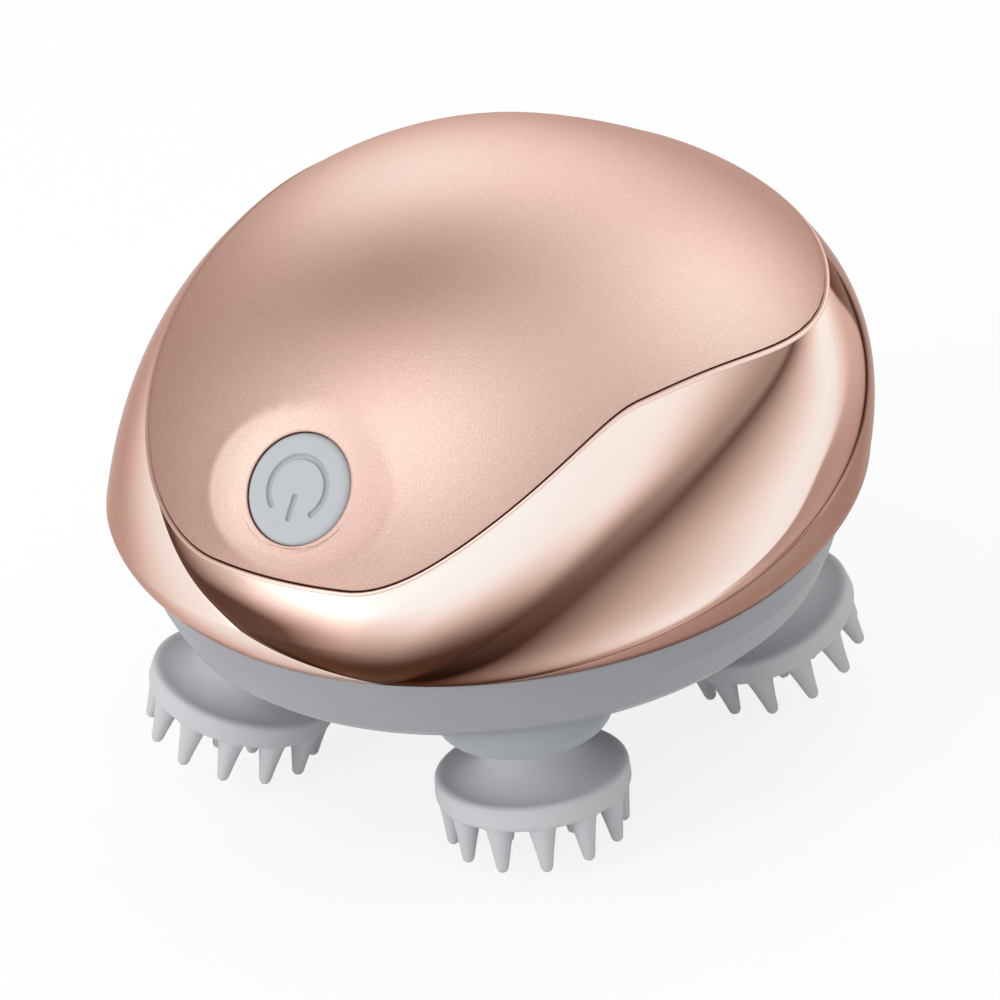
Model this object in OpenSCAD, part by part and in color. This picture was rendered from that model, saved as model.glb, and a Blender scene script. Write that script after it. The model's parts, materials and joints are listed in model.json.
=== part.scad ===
// Electric scalp massager: a domed body over four claw pads.
// One motor turns a sun gear that drives four planet gears.
// Each pad sits on a slanted, off-centre pin, so it swings as it turns.
// Millimetres, +Z up, origin on the floor under the middle of the body, button towards -Y.

/* [Dome] */
// Radius of the body at its widest level
body_r = 58.5; // [58:0.25:59]
// Radius of the glossy shell at its lower edge
rim_r = 54; // [53.7:0.1:54.3]
// Height of the glossy shell's lower edge
rim_z = 41.1; // [40.8:0.1:41.4]
// Height of the widest level
waist_z = 49; // [48.5:0.25:49.5]
// Height of the crown
crown_z = 96; // [94:0.5:98]
// How far the crown sits behind the middle
crown_back = 18; // [16:0.5:18]
// Wall of the cover and of the glossy shell at the seam
skin_wall = 2.4; // [2.2:0.1:2.6]

/* [Seam] */
// Lowest height of the seam, under the button
seam_low = 57; // [56.5:0.25:57.5]
// How far the seam along the right side lies below the crown
shelf_drop = 19.8; // [19:0.1:21]
// How far the seam at the back lies below the crown
seam_drop = 11; // [10:0.25:12]
// Gap between the cover and the glossy shell
seam_gap = 0.3; // [0.3:0.05:0.4]

/* [Swirl] */
// How far the first ribbon tucks in behind the panel edge
tuck_depth = 1.8; // [1:0.1:2]
// Depth of the valley between the two ribbons
valley_depth = 2.5; // [1.5:0.1:2.6]
// How far a ribbon stands proud of the dome
ribbon_swell = 0.55; // [0.3:0.05:0.6]
// Step from the outer band up to the plain back
band_step = 1.0; // [0.5:0.1:1.2]

/* [Button] */
// Radius of the power button
button_r = 8.35; // [8:0.05:8.4]
// Compass angle of the button on the dome
button_az = -83.5; // [-86:0.5:-81]
// Height of the button's middle on the dome
button_z = 68.5; // [68:0.25:69]
// Slope of the button's face from level
button_tilt = 49; // [48:0.5:50]
// Travel of the button
button_travel = 0.8; // [0.5:0.1:0.8]

/* [Drive] */
// Distance of each crank from the middle axis
crank_r = 36.46; // [36.2:0.02:36.6]
// Height of the crank point on the shaft axis
crank_z = 14.21; // [14:0.01:14.4]
// Lean of each output shaft from upright
shaft_lean = 12.37; // [12:0.01:12.7]
// Offset of the pad pin from the shaft axis
crank_throw = 5.14; // [4.8:0.02:5.2]
// Slant of the pad pin from the shaft axis
pin_slant = 6.87; // [6.5:0.01:7]
// Height at which the planet gears mesh with the sun gear
mesh_z = 40; // [39.8:0.1:40.2]

/* [Pads] */
// Outer radius of a pad's rim
pad_r = 14.75; // [13.8:0.05:15]
// Depth of the outer claw tips under the rim
claw_reach = 11.6; // [11.4:0.1:12]
// Radius of the ring of outer claws
claw_ring_r = 12; // [12:0.05:12.25]
// Outer claws on each pad
claw_count = 12; // [10:1:12]

/* [Hidden] */
$fn = 64;

// One drive corner: [compass angle, crank turn, claw turn]
front_left = [225, -23, 44.5];
front_right = [315, 176.5, 3.6];
back_right = [45, 43.6, -0.85];
back_left = [135, 180, 8];
corners = [front_left, front_right, back_right, back_left];

// Dome shape
dome_power = 2.2;
under_power = 1.8;
flat_depth = 0.9;
seam_shelf = crown_z - shelf_drop;
seam_high = crown_z - seam_drop;
fold_room = 1.4;
rim_wall = 2.2;
dish_depth = 0.8;
dish_flat = 11;
dish_edge = 17;
gasket_drop = 2;
gasket_lip = 0.7;
gasket_slack = 0.3;
bead_width = 0.7;
bead_swell = 0.3;
edge_chamfer = 0.35;

// Grid of the two shells
ribbon_cols = 34;
valley_cols = 12;
band_cols = 5;
back_cols = 36;
step_width = 0.25;
shell_rows = 26;
cover_rows = 15;
cover_lining_rows = 5;
shell_lining_rows = 12;
lining_top = 0.85;
row_crowding = 1.7;

// Lower shell
base_z = 29.2;
floor_z = 31.2;
wall = 2;
plinth_r = 14;
plinth_h = 0.4;
post_r = 4.5;
screw_r = 1.5;
screw_head_r = 3;
screw_spots = [[38, -12], [-38, -12], [0, -34], [15, 40], [-15, 40]];

// Gearbox
plate_z = 33;
plate_t = 3;
lid_z = 51;
lid_t = 2;
slide_gap = 0.05;
shaft_r = 2.5;
pin_r = 2;
sun_teeth = 40;
planet_teeth = 20;
pinion_teeth = 12;
wheel_teeth = 48;
wheel_module = 0.6;
tooth_slack = 0.2;
sun_module = (crank_r * cos(shaft_lean) - (mesh_z - crank_z) * sin(shaft_lean))
    / (sun_teeth / 2 * cos(shaft_lean) + planet_teeth / 2);
sun_pitch_r = sun_module * sun_teeth / 2;
planet_s = (crank_r - sun_pitch_r) * sin(shaft_lean) + (mesh_z - crank_z) * cos(shaft_lean);
idler_y = sun_module * (sun_teeth + pinion_teeth) / 2;
motor_y = idler_y - wheel_module * (wheel_teeth + pinion_teeth) / 2;
motor_r = 12;
motor_room = 10.6;
motor_h = crown_z - skin_wall - motor_room - lid_z - lid_t;
motor_shaft_r = 1.5;
motor_screw_x = 8;

// Crank and bush, as distances along the shaft from the crank point
hub_low = 8.6;
hub_high = 12.6;
hub_r = 9.2;
bush_low = 19.6;
bush_high = 24.4;
shaft_top = 33.6;
pad_pin_r = 3;
claw_splay = 5.4;
neck_r = 6;
neck_room = 0.36;
boot_z = 23.3;
boot_r = 13.3;

// Button stack, as depths below the dome's surface
seat_depth = 4.2;
tube_length = 7;
button_gap = 0.3;
flange_r = button_r + 0.75;
bracket_bore = flange_r + button_gap;
bracket_r = bracket_bore + 0.8;
flange_depth = seat_depth + button_gap;
flange_t = 1.5;
board_depth = seat_depth + tube_length;
switch_h = 2.8;

function ramp(low, high, x) =
    let(t = min(1, max(0, (x - low) / (high - low))))
    t * t * (3 - 2 * t);
function mix(a, b, t) = a + (b - a) * t;
function wrap(az) = az > 180 ? az - 360 : az;

// Height of the seam round the dome: low under the button, a shelf on the right, high behind
function seam_z(az) =
    seam_low
    + (seam_high - seam_low) * (1 - ramp(-166, -95, az))
    + (seam_shelf - seam_low) * ramp(-72, -30, az)
    + (seam_high - seam_shelf) * ramp(30, 90, az)
    + 1.1 * cos(5.5 * (az + 18.4)) * ramp(-60, -30, az) * (1 - ramp(20, 55, az));

// Swirl lines: compass angle at the share v of the way from the lower edge to the seam
function panel_line(v) = -68 - 52.8 * (0.72 * v + 0.28 * pow(v, 16)) - 4 * pow(1 - v, 8);
function valley_line(v) = -67.5 + 71.5 * pow(v, 1.25);
function crest_line(v) = -59 + 81 * (0.84 * (1 - exp(-pow(v / 0.26, 1.3))) + 0.16 * v);
function band_line(v) = -57 + 93 * (1 - pow(1 - v, 3));

// Slight flat low on the back, where the charging socket is
function rear_flat(az, rise) =
    flat_depth * ramp(40, 80, az) * (1 - ramp(100, 140, az)) * (1 - ramp(0.35, 0.75, rise));

// A point of the dome at a height, moved inwards by inset
function dome_point(az, z, inset) =
    let(
        rise = max(0, (z - waist_z) / (crown_z - waist_z - inset)),
        drop = max(0, (waist_z - z) / (waist_z - rim_z)),
        round_power = 2.05 - 0.74 * sin(az),
        r = (body_r - inset) * pow(max(0, 1 - pow(rise, dome_power)), 1 / round_power)
            - (body_r - rim_r) * pow(drop, under_power)
            - rear_flat(az, rise)
    )
    [r * cos(az), r * sin(az) + crown_back * rise, z];

// Columns of the grid: [zone, share across the zone]
zones = [ribbon_cols, valley_cols, band_cols, back_cols];
columns = [
    for (zone = [0:3])
    for (i = [0:zones[zone] - (zone < 2 ? 1 : 0)])
    [zone, i / zones[zone]]
];

function column_az(col, v) =
    col[0] == 0 ? mix(panel_line(v) + step_width, valley_line(v), col[1])
    : col[0] == 1 ? mix(valley_line(v), crest_line(v), col[1])
    : col[0] == 2 ? mix(crest_line(v), band_line(v) - step_width, col[1])
    : mix(band_line(v) + step_width, panel_line(v) + 360 - step_width, col[1]);

// Depth of the swirl across its zones
function fold_depth(col) =
    col[0] == 0 && col[1] < 0.5 ? mix(tuck_depth, -ribbon_swell, ramp(0, 0.5, col[1]))
    : col[0] == 0 ? mix(-ribbon_swell, valley_depth, ramp(0.5, 1, col[1]))
    : col[0] == 1 ? mix(valley_depth, -ribbon_swell, ramp(0, 1, col[1]))
    : col[0] == 2 ? mix(-ribbon_swell, band_step, ramp(0, 1, col[1]))
    : 0;
function fold_fade(v) = ramp(0, 0.25, v) * (1 - ramp(0.8, 1, v));

// Rings of points: the glossy shell outside and inside, from the lower edge to the seam
function shell_ring(v) = [
    for (col = columns)
    let(az = wrap(column_az(col, v)))
    dome_point(az, mix(rim_z, seam_z(az), v), fold_depth(col) * fold_fade(v))
];
function shell_lining(v) = [
    for (col = columns)
    let(
        az = wrap(column_az(col, v / lining_top)),
        inset = mix(rim_wall, skin_wall + fold_room, ramp(0, 0.2, v))
    )
    dome_point(az, mix(rim_z, seam_z(az), v), inset)
];
function seam_ring(drop, inset) = [
    for (col = columns)
    let(az = wrap(column_az(col, 1)))
    dome_point(az, seam_z(az) - drop, inset)
];

// The button's place and the dish round it
button_at = dome_point(button_az, button_z, 0);
button_turn = -80;
button_dir = [
    sin(button_tilt) * cos(button_turn),
    sin(button_tilt) * sin(button_turn),
    cos(button_tilt)
];
function dished(p, az) =
    let(
        off = p - button_at,
        deep = off * button_dir,
        away = norm(off - deep * button_dir),
        share = (1 - ramp(dish_flat, dish_edge, away)) * ramp(0, 4, p[2] - seam_z(az))
    )
    deep < -25 ? p : p - share * (dish_depth + deep) * button_dir;

// Rings of the cover, from the seam towards the crown
function cover_share(az, inset) =
    asin(pow((seam_z(az) + seam_gap - waist_z) / (crown_z - waist_z - inset), dome_power / 2))
    / 90;
function cover_ring(t, inset) = [
    for (col = columns)
    let(
        az = wrap(column_az(col, 1)),
        share = mix(cover_share(az, inset), 1, t),
        z = waist_z + (crown_z - waist_z - inset) * pow(sin(90 * share), 2 / dome_power)
    )
    inset > 0 ? dome_point(az, z, inset) : dished(dome_point(az, z, 0), az)
];

function reversed(list) = [for (i = [len(list) - 1:-1:0]) list[i]];
function flattened(list) = [for (part = list) each part];

// Side faces between each ring and the next
function wrap_faces(ring_count, n) = [
    for (i = [0:ring_count - 1])
    for (j = [0:n - 1])
    for (half = [0, 1])
    let(
        a = i * n + j,
        b = i * n + (j + 1) % n,
        c = (i + 1) * n + (j + 1) % n,
        d = (i + 1) * n + j
    )
    half == 0 ? [a, d, b] : [b, d, c]
];

// A closed hoop: rings up the outside and down the inside
module hoop_solid(rings) {
    n = len(rings[0]);
    total = len(rings) * n;
    faces = wrap_faces(len(rings), n);
    polyhedron(flattened(rings), [for (f = faces) [for (k = f) k % total]]);
}

// A closed cap: rings from the inner pole down, then up outside to the outer pole
module cap_solid(rings, inner_pole, outer_pole) {
    n = len(rings[0]);
    total = len(rings) * n;
    sides = wrap_faces(len(rings) - 1, n);
    inner_fan = [for (j = [0:n - 1]) [total, j, (j + 1) % n]];
    outer_fan = [for (j = [0:n - 1]) [total + 1, total - n + (j + 1) % n, total - n + j]];
    polyhedron(
        concat(flattened(rings), [inner_pole, outer_pole]),
        concat(sides, inner_fan, outer_fan)
    );
}

module on_button() {
    translate(button_at)
    rotate([0, 0, button_turn])
    rotate([0, button_tilt, 0])
    children();
}

module on_shaft(corner) {
    rotate([0, 0, corner[0]])
    translate([crank_r, 0, crank_z])
    rotate([0, -shaft_lean, 0])
    children();
}

module on_pad(corner) {
    on_shaft(corner)
    rotate([0, 0, corner[1]])
    translate([crank_throw, 0, 0])
    rotate([0, -pin_slant, 0])
    children();
}

module rod(r, low, high) {
    translate([0, 0, low])
    cylinder(r = r, h = high - low);
}

module tube(outer_r, inner_r, low, high) {
    difference() {
        rod(outer_r, low, high);
        rod(inner_r, low - 1, high + 1);
    }
}

// Involute tooth outline: half the tooth's angle at radius r
function involute(a) = tan(a) * 180 / PI - a;
function half_tooth(teeth, mod, r) =
    let(pitch_r = teeth * mod / 2, base_r = pitch_r * cos(20))
    90 / teeth - tooth_slack / 2 / pitch_r * 180 / PI
    + involute(20) - involute(acos(min(1, base_r / r)));
function gear_outline(teeth, mod) =
    let(
        pitch_r = teeth * mod / 2,
        radii = [pitch_r - 1.25 * mod, pitch_r - 0.25 * mod, pitch_r + 0.8 * mod]
    )
    [
        for (i = [0:teeth - 1])
        for (k = [0:5])
        let(
            r = radii[k < 3 ? k : 5 - k],
            side = k < 3 ? -1 : 1,
            az = i * 360 / teeth + side * half_tooth(teeth, mod, r)
        )
        [r * cos(az), r * sin(az)]
    ];
module gear(teeth, mod, low, high, turn) {
    translate([0, 0, low])
    rotate([0, 0, turn])
    linear_extrude(height = high - low)
    polygon(gear_outline(teeth, mod));
}

module top_cover() {
    edge = cover_ring(0, edge_chamfer);
    outside = [for (i = [1:cover_rows]) cover_ring(pow((i - 0.85) / cover_rows, 1.1), 0)];
    inside = [
        for (i = [0:cover_lining_rows])
        cover_ring(0.97 * i / cover_lining_rows, skin_wall)
    ];
    color([0.80, 0.60, 0.52])
    difference() {
        union() {
            cap_solid(
                concat(reversed(inside), [edge], outside),
                [0, crown_back, crown_z - skin_wall],
                [0, crown_back, crown_z]
            );
            on_button()
            rod(bracket_r + 0.2, -seat_depth, -1.6);
        }
        on_button() {
            rod(button_r + button_gap, -seat_depth - 1, 4);
            rod(bracket_r + slide_gap, -board_depth, -seat_depth);
        }
    }
}

module swirl_shell() {
    outside = [
        for (i = [0:shell_rows])
        shell_ring(0.9 * pow(i / shell_rows, row_crowding))
    ];
    bead = [
        seam_ring(bead_width + 0.25, 0),
        seam_ring(bead_width, -bead_swell),
        seam_ring(0, -bead_swell)
    ];
    inside = [
        for (i = [0:shell_lining_rows])
        shell_lining(lining_top * pow(i / shell_lining_rows, row_crowding))
    ];
    color([0.78, 0.52, 0.43])
    hoop_solid(concat(
        outside,
        bead,
        [seam_ring(0, skin_wall), seam_ring(gasket_drop, skin_wall)],
        reversed(inside)
    ));
}

module seam_gasket() {
    outer = skin_wall + gasket_slack;
    inner = outer + 0.8;
    color([0.15, 0.15, 0.16])
    hoop_solid([
        seam_ring(gasket_drop - gasket_slack, outer),
        seam_ring(-gasket_lip, outer),
        seam_ring(-gasket_lip, inner),
        seam_ring(gasket_drop - gasket_slack, inner)
    ]);
}

module port_slot(room, low, high) {
    r = 1.6 + room;
    half = 4.5 + room - r;
    translate([0, low, rim_z - 4.6])
    rotate([-90, 0, 0]) {
        for (x = [-half, half])
        translate([x, 0, 0])
        cylinder(r = r, h = high - low, $fn = 32);
        translate([-half, -r, 0])
        cube([2 * half, 2 * r, high - low]);
    }
}

module lower_shell() {
    outside = [
        [47.3, base_z], [48.6, base_z + 0.4], [50.6, rim_z - 9.7],
        [51.8, rim_z - 7.1], [52.8, rim_z - 4.6], [rim_r - 0.4, rim_z]
    ];
    color([0.56, 0.57, 0.59])
    difference() {
        union() {
            rotate_extrude($fn = 96)
            polygon(concat(
                [[0, base_z]],
                outside,
                [
                    [rim_r - 2.7, rim_z], [rim_r - 2.7, rim_z + 2.4],
                    [rim_r - 3.9, rim_z + 2.4], [rim_r - 3.9, rim_z - 1]
                ],
                [for (i = [4:-1:1]) outside[i] + [-wall, 0.4]],
                [[47.3 - 0.6, floor_z], [0, floor_z]]
            ));
            rod(plinth_r, base_z - plinth_h, base_z + 0.1);
            for (spot = screw_spots)
            translate(spot)
            rod(post_r, floor_z - 1, plate_z);
            translate([-6, 43, floor_z - 1])
            cube([12, 6.3, rim_z - 4.6 - 1.6 - floor_z + 1]);
        }
        for (corner = corners)
        on_shaft(corner)
        rod(3.3, hub_high, bush_low + 2);
        for (spot = screw_spots)
        translate(spot) {
            rod(screw_head_r + 0.3, base_z - 1, base_z + 1.8);
            rod(screw_r + 0.1, base_z - 1, plate_z + 1);
        }
        port_slot(0.15, 46, 60);
    }
}

module neck_collar(corner) {
    color([0.50, 0.51, 0.53])
    difference() {
        rotate([0, 0, corner[0]])
        translate([crank_r - (26 - crank_z) * tan(shaft_lean), 0, 0])
        rotate_extrude()
        polygon(concat(
            [[0, boot_z]],
            [for (a = [-90:22.5:0]) [boot_r - 1 + cos(a), boot_z + 1 + sin(a)]],
            [for (i = [1:5]) let(z = mix(boot_z + 1, base_z, i / 5)) [boot_r + 0.3 - 0.045 * pow(z - boot_z - 2.5, 2), z]],
            [[0, base_z]]
        ));
        on_shaft(corner) {
            rod(hub_r + 0.4, 0, 24);
            rod(crank_throw + neck_r + neck_room, 0, hub_low - 0.8);
        }
    }
}

module gearbox_base() {
    color([0.86, 0.86, 0.84])
    difference() {
        union() {
            rod(47, plate_z, plate_z + plate_t);
            for (spot = screw_spots)
            translate(spot)
            rod(3.5, plate_z, lid_z);
            for (corner = corners)
            on_shaft(corner)
            rod(6.2, bush_low, bush_high);
        }
        for (corner = corners)
        on_shaft(corner)
        rod(4 + slide_gap, bush_low - 3, bush_high + 1);
        for (y = [0, idler_y])
        translate([0, y, 0])
        rod(pin_r + slide_gap, plate_z - 1, plate_z + plate_t + 1);
        for (spot = screw_spots)
        translate(spot) {
            rod(screw_r + slide_gap, plate_z - 1, plate_z + 10.4);
            rod(screw_r + slide_gap, lid_z - 6.4, lid_z + 1);
        }
        translate([-7, 42.6, plate_z - 1])
        cube([14, 10, plate_t + 2]);
    }
}

module gearbox_cover() {
    color([0.86, 0.86, 0.84])
    difference() {
        union() {
            difference() {
                rod(46.5, lid_z, lid_z + lid_t);
                translate([-60, -98, lid_z - 1])
                cube([120, 60, lid_t + 2]);
            }
            for (x = [18, 35])
            for (y = [-4, 24])
            translate([x, y, 0])
            rod(2, lid_z + 1, lid_z + lid_t + 2);
        }
        for (y = [0, idler_y])
        translate([0, y, 0])
        rod(pin_r + slide_gap, lid_z - 1, lid_z + lid_t + 1);
        translate([0, motor_y, 0])
        rod(4.45, lid_z - 1, lid_z + lid_t + 1);
        for (x = [-motor_screw_x, motor_screw_x])
        translate([x, motor_y, 0])
        rod(1.3, lid_z - 1, lid_z + lid_t + 1);
        for (spot = screw_spots)
        translate(spot)
        rod(screw_r + 0.1, lid_z - 1, lid_z + lid_t + 1);
    }
}

module sun_pin() {
    color([0.75, 0.76, 0.78]) {
        rod(pin_r, plate_z, lid_z + lid_t);
        rod(3.2, 44.4, 45.6);
    }
}

module idler_pin() {
    color([0.75, 0.76, 0.78])
    translate([0, idler_y, 0])
    rod(pin_r, plate_z, lid_z + lid_t);
}

module shaft_bush(corner) {
    color([0.72, 0.56, 0.30])
    on_shaft(corner)
    difference() {
        union() {
            rod(4, bush_low, bush_high);
            rod(5.4, bush_high, bush_high + 1);
        }
        rod(shaft_r + slide_gap, bush_low - 1, bush_high + 2);
    }
}

module motor_can() {
    top = lid_z + lid_t + motor_h;
    color([0.70, 0.71, 0.73])
    translate([0, motor_y, 0])
    difference() {
        union() {
            rod(motor_r, lid_z + lid_t, top - 0.8);
            rod(motor_r - 0.8, lid_z + lid_t + 1, top);
            rod(4.4, lid_z + 0.4, lid_z + lid_t + 1);
        }
        rod(motor_shaft_r + slide_gap, lid_z - 1, lid_z + 14);
        for (x = [-motor_screw_x, motor_screw_x])
        translate([x, 0, 0])
        rod(1.25, lid_z, lid_z + lid_t + 5);
    }
}

module motor_end_cap() {
    low = lid_z + lid_t + motor_h;
    color([0.15, 0.15, 0.17])
    translate([0, motor_y, 0]) {
        rod(motor_r - 1, low, low + 2);
        rod(3, low + 1, low + 3);
        for (y = [-7, 7])
        translate([-0.4, y - 1.2, low + 1])
        cube([0.8, 2.4, 4]);
    }
}

module motor_screw(side) {
    color([0.62, 0.63, 0.65])
    translate([side * motor_screw_x, motor_y, 0])
    difference() {
        union() {
            rod(2.3, lid_z - 1.6, lid_z);
            rod(1.2, lid_z - 1, lid_z + lid_t + 4.6);
        }
        for (turn = [0, 90])
        rotate([0, 0, turn])
        translate([-1.4, -0.3, lid_z - 2])
        cube([2.8, 0.6, 1]);
    }
}

module rounded_block(size, r) {
    translate([r, 0, 0])
    cube([size[0] - 2 * r, size[1], size[2]]);
    translate([0, r, 0])
    cube([size[0], size[1] - 2 * r, size[2]]);
    for (x = [r, size[0] - r])
    for (y = [r, size[1] - r])
    translate([x, y, 0])
    cylinder(r = r, h = size[2], $fn = 32);
}

module battery_pack() {
    color([0.20, 0.35, 0.55])
    translate([-38, -5, lid_z + lid_t])
    rounded_block([20, 34, 17], 3);
}

module battery_strap() {
    low = lid_z + lid_t;
    color([0.82, 0.82, 0.80])
    translate([0, 7, 0])
    difference() {
        union() {
            translate([-39.2, 0, low])
            cube([22.4, 9, 18.2]);
            translate([-42.5, 0, low])
            cube([29, 9, 1.2]);
        }
        translate([-38, -1, low - 1])
        cube([20, 11, 18]);
    }
}

module circuit_board() {
    low = lid_z + lid_t + 2;
    color([0.10, 0.36, 0.22])
    translate([16, -6, low]) {
        cube([21, 32, 1.6]);
        translate([3, 6, 1])
        cube([6, 6, 1.8]);
        translate([11.5, 5, 1])
        cube([5, 4, 1.6]);
        translate([4, 17, 1])
        cube([4, 3, 1.5]);
        translate([11, 21, 1])
        cube([8, 5, 4]);
        translate([14.5, 15, 0])
        cylinder(r = 2.5, h = 6.6, $fn = 32);
    }
}

module charging_port() {
    color([0.72, 0.73, 0.75])
    difference() {
        port_slot(0, 43, 52.2);
        difference() {
            port_slot(-0.35, 45, 53);
            translate([-3.3, 45, rim_z - 4.6 - 0.35])
            cube([6.6, 6, 0.7]);
        }
    }
}

module button_bracket() {
    color([0.86, 0.86, 0.84])
    on_button()
    tube(bracket_r, bracket_bore, -board_depth, -seat_depth);
}

module switch_board() {
    color([0.10, 0.36, 0.22])
    on_button()
    rod(bracket_r, -board_depth - 1.6, -board_depth);
}

module tact_switch() {
    color([0.16, 0.16, 0.18])
    on_button() {
        translate([-3, -3, -board_depth])
        cube([6, 6, switch_h - 0.6]);
        rod(1.6, -board_depth + 1, -board_depth + switch_h);
    }
}

module power_symbol(floor_depth) {
    difference() {
        tube(4.85, 4.1, -floor_depth, 2);
        rotate([0, 0, -3])
        translate([0, -2, -floor_depth - 1])
        cube([8, 4, 5]);
    }
    rotate([0, 0, -3])
    translate([1.2, -0.38, -floor_depth])
    cube([3.9, 0.76, 4]);
}

module power_button() {
    color([0.60, 0.61, 0.63])
    on_button()
    difference() {
        rotate_extrude()
        polygon([
            [0, -flange_depth - flange_t], [flange_r, -flange_depth - flange_t],
            [flange_r, -flange_depth], [button_r, -flange_depth],
            [button_r, -1.3], [button_r - 0.2, -0.85], [button_r - 0.7, -0.6],
            [button_r - 2.2, -0.5], [0, -0.45]
        ]);
        power_symbol(0.8);
        rod(1.5 + slide_gap, -flange_depth - flange_t - 1, -flange_depth + 0.5);
    }
}

module button_plunger() {
    tip = board_depth - switch_h - button_travel - 0.1;
    color([0.90, 0.90, 0.88])
    on_button()
    rod(1.5, -tip, -flange_depth + 0.4);
}

module case_screw(spot) {
    color([0.62, 0.63, 0.65])
    translate(spot)
    difference() {
        union() {
            rod(screw_head_r, base_z + 0.3, base_z + 1.8);
            rod(screw_r, base_z + 1, plate_z + 10);
        }
        for (turn = [0, 90])
        rotate([0, 0, turn])
        translate([-1.9, -0.4, base_z])
        cube([3.8, 0.8, 1.1]);
    }
}

module box_screw(spot) {
    top = lid_z + lid_t;
    color([0.62, 0.63, 0.65])
    translate(spot)
    difference() {
        union() {
            rod(2.8, top, top + 1.6);
            rod(screw_r, top - 8, top + 1);
        }
        for (turn = [0, 90])
        rotate([0, 0, turn])
        translate([-1.8, -0.4, top + 0.8])
        cube([3.6, 0.8, 2]);
    }
}

module sun_gear() {
    color([0.92, 0.91, 0.86])
    difference() {
        union() {
            gear(sun_teeth, sun_module, mesh_z - 2, mesh_z + 2, 0);
            rod(5, plate_z + plate_t + 0.4, 44);
        }
        rod(pin_r + slide_gap, plate_z, 50);
    }
}

module idler_gear() {
    color([0.92, 0.91, 0.86])
    translate([0, idler_y, 0])
    difference() {
        union() {
            gear(pinion_teeth, sun_module, mesh_z - 2.5, mesh_z + 2.5, 180 / pinion_teeth);
            gear(wheel_teeth, wheel_module, 46.8, 49.8, 0);
            rod(4.7, plate_z + plate_t + 0.4, lid_z - 0.4);
        }
        rod(pin_r + slide_gap, plate_z, lid_z + 1);
    }
}

module motor_shaft() {
    color([0.75, 0.76, 0.78])
    translate([0, motor_y, 0])
    rod(motor_shaft_r, 46, lid_z + 13);
}

module motor_pinion() {
    color([0.80, 0.66, 0.36])
    translate([0, motor_y, 0])
    difference() {
        gear(pinion_teeth, wheel_module, 46.2, 50.6, 180 / pinion_teeth);
        rod(motor_shaft_r + slide_gap, 45, 52);
    }
}

module planet_gear(corner) {
    color([0.92, 0.91, 0.86])
    on_shaft(corner)
    difference() {
        union() {
            gear(planet_teeth, sun_module, planet_s - 1.5, planet_s + 1.5, 180 / planet_teeth);
            rod(5, planet_s, planet_s + 3.5);
        }
        rod(shaft_r + slide_gap, planet_s - 2, planet_s + 5);
    }
}

module output_shaft(corner) {
    color([0.75, 0.76, 0.78])
    on_shaft(corner)
    rod(shaft_r, hub_low + 1.6, shaft_top);
}

module crank_hub(corner) {
    color([0.66, 0.67, 0.69])
    difference() {
        union() {
            on_shaft(corner) {
                rod(hub_r, hub_low, hub_high);
                rod(4.5, hub_low, hub_high + 1);
            }
            on_pad(corner)
            rod(pad_pin_r, -0.9, hub_low + 1);
        }
        on_shaft(corner)
        rod(shaft_r + slide_gap, hub_low + 1.6, hub_high + 2);
    }
}

// One claw, turned about its own axis, from its root in the pad to its rounded tip
module claw(root_r, tip_r, root_z, tip_z) {
    rotate_extrude($fn = 32)
    polygon(concat(
        [[0, tip_z]],
        [for (a = [-60:30:0]) [tip_r * cos(a), tip_z + tip_r + tip_r * sin(a)]],
        [for (t = [0.4, 0.75, 1]) [mix(tip_r, root_r, pow(t, 1.5)), mix(tip_z, root_z, t)]],
        [[0, root_z]]
    ));
}

module head_pad(corner) {
    skirt_z = -3.4;
    root_z = -3;
    color([0.60, 0.61, 0.63])
    on_pad(corner)
    difference() {
        union() {
            rotate_extrude($fn = 96)
            polygon(concat(
                [[0, skirt_z - 0.6], [pad_r - 0.4, skirt_z - 0.6], [pad_r + 0.15, skirt_z]],
                [for (a = [0:30:120]) [pad_r - 0.9 + 0.9 * cos(a), 0.7 * sin(a) - 0.7]],
                [for (t = [0:0.125:1]) [mix(pad_r - 2.4, neck_r, sin(90 * t)), 6.7 * (1 - cos(90 * t)) - 0.2]],
                [[0, 6.5]]
            ));
            rotate([0, 0, corner[2]]) {
                for (i = [1:claw_count])
                rotate([0, 0, i * 360 / claw_count])
                translate([claw_ring_r, 0, 0])
                rotate([0, -claw_splay, 0])
                claw(2.45, 0.75, root_z, -claw_reach);
                for (i = [1:8])
                rotate([0, 0, i * 45])
                translate([7, 0, 0])
                claw(2, 0.75, root_z, 1.6 - claw_reach);
                claw(2, 0.75, root_z, 2 - claw_reach);
            }
        }
        rod(pad_pin_r + slide_gap, -1, 8);
    }
}

top_cover();
swirl_shell();
lower_shell();
seam_gasket();
neck_collar(front_left);  // front_left_collar
neck_collar(front_right);  // front_right_collar
neck_collar(back_right);  // back_right_collar
neck_collar(back_left);  // back_left_collar
gearbox_base();
gearbox_cover();
sun_pin();
idler_pin();
shaft_bush(front_left);  // front_left_bush
shaft_bush(front_right);  // front_right_bush
shaft_bush(back_right);  // back_right_bush
shaft_bush(back_left);  // back_left_bush
motor_can();
motor_end_cap();
motor_screw(-1);  // motor_screw_1
motor_screw(1);  // motor_screw_2
battery_pack();
battery_strap();
circuit_board();
charging_port();
button_bracket();
switch_board();
tact_switch();
case_screw(screw_spots[0]);  // case_screw_1
case_screw(screw_spots[1]);  // case_screw_2
case_screw(screw_spots[2]);  // case_screw_3
case_screw(screw_spots[3]);  // case_screw_4
case_screw(screw_spots[4]);  // case_screw_5
box_screw(screw_spots[0]);  // box_screw_1
box_screw(screw_spots[1]);  // box_screw_2
box_screw(screw_spots[2]);  // box_screw_3
box_screw(screw_spots[3]);  // box_screw_4
box_screw(screw_spots[4]);  // box_screw_5
power_button();
button_plunger();
sun_gear();
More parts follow.
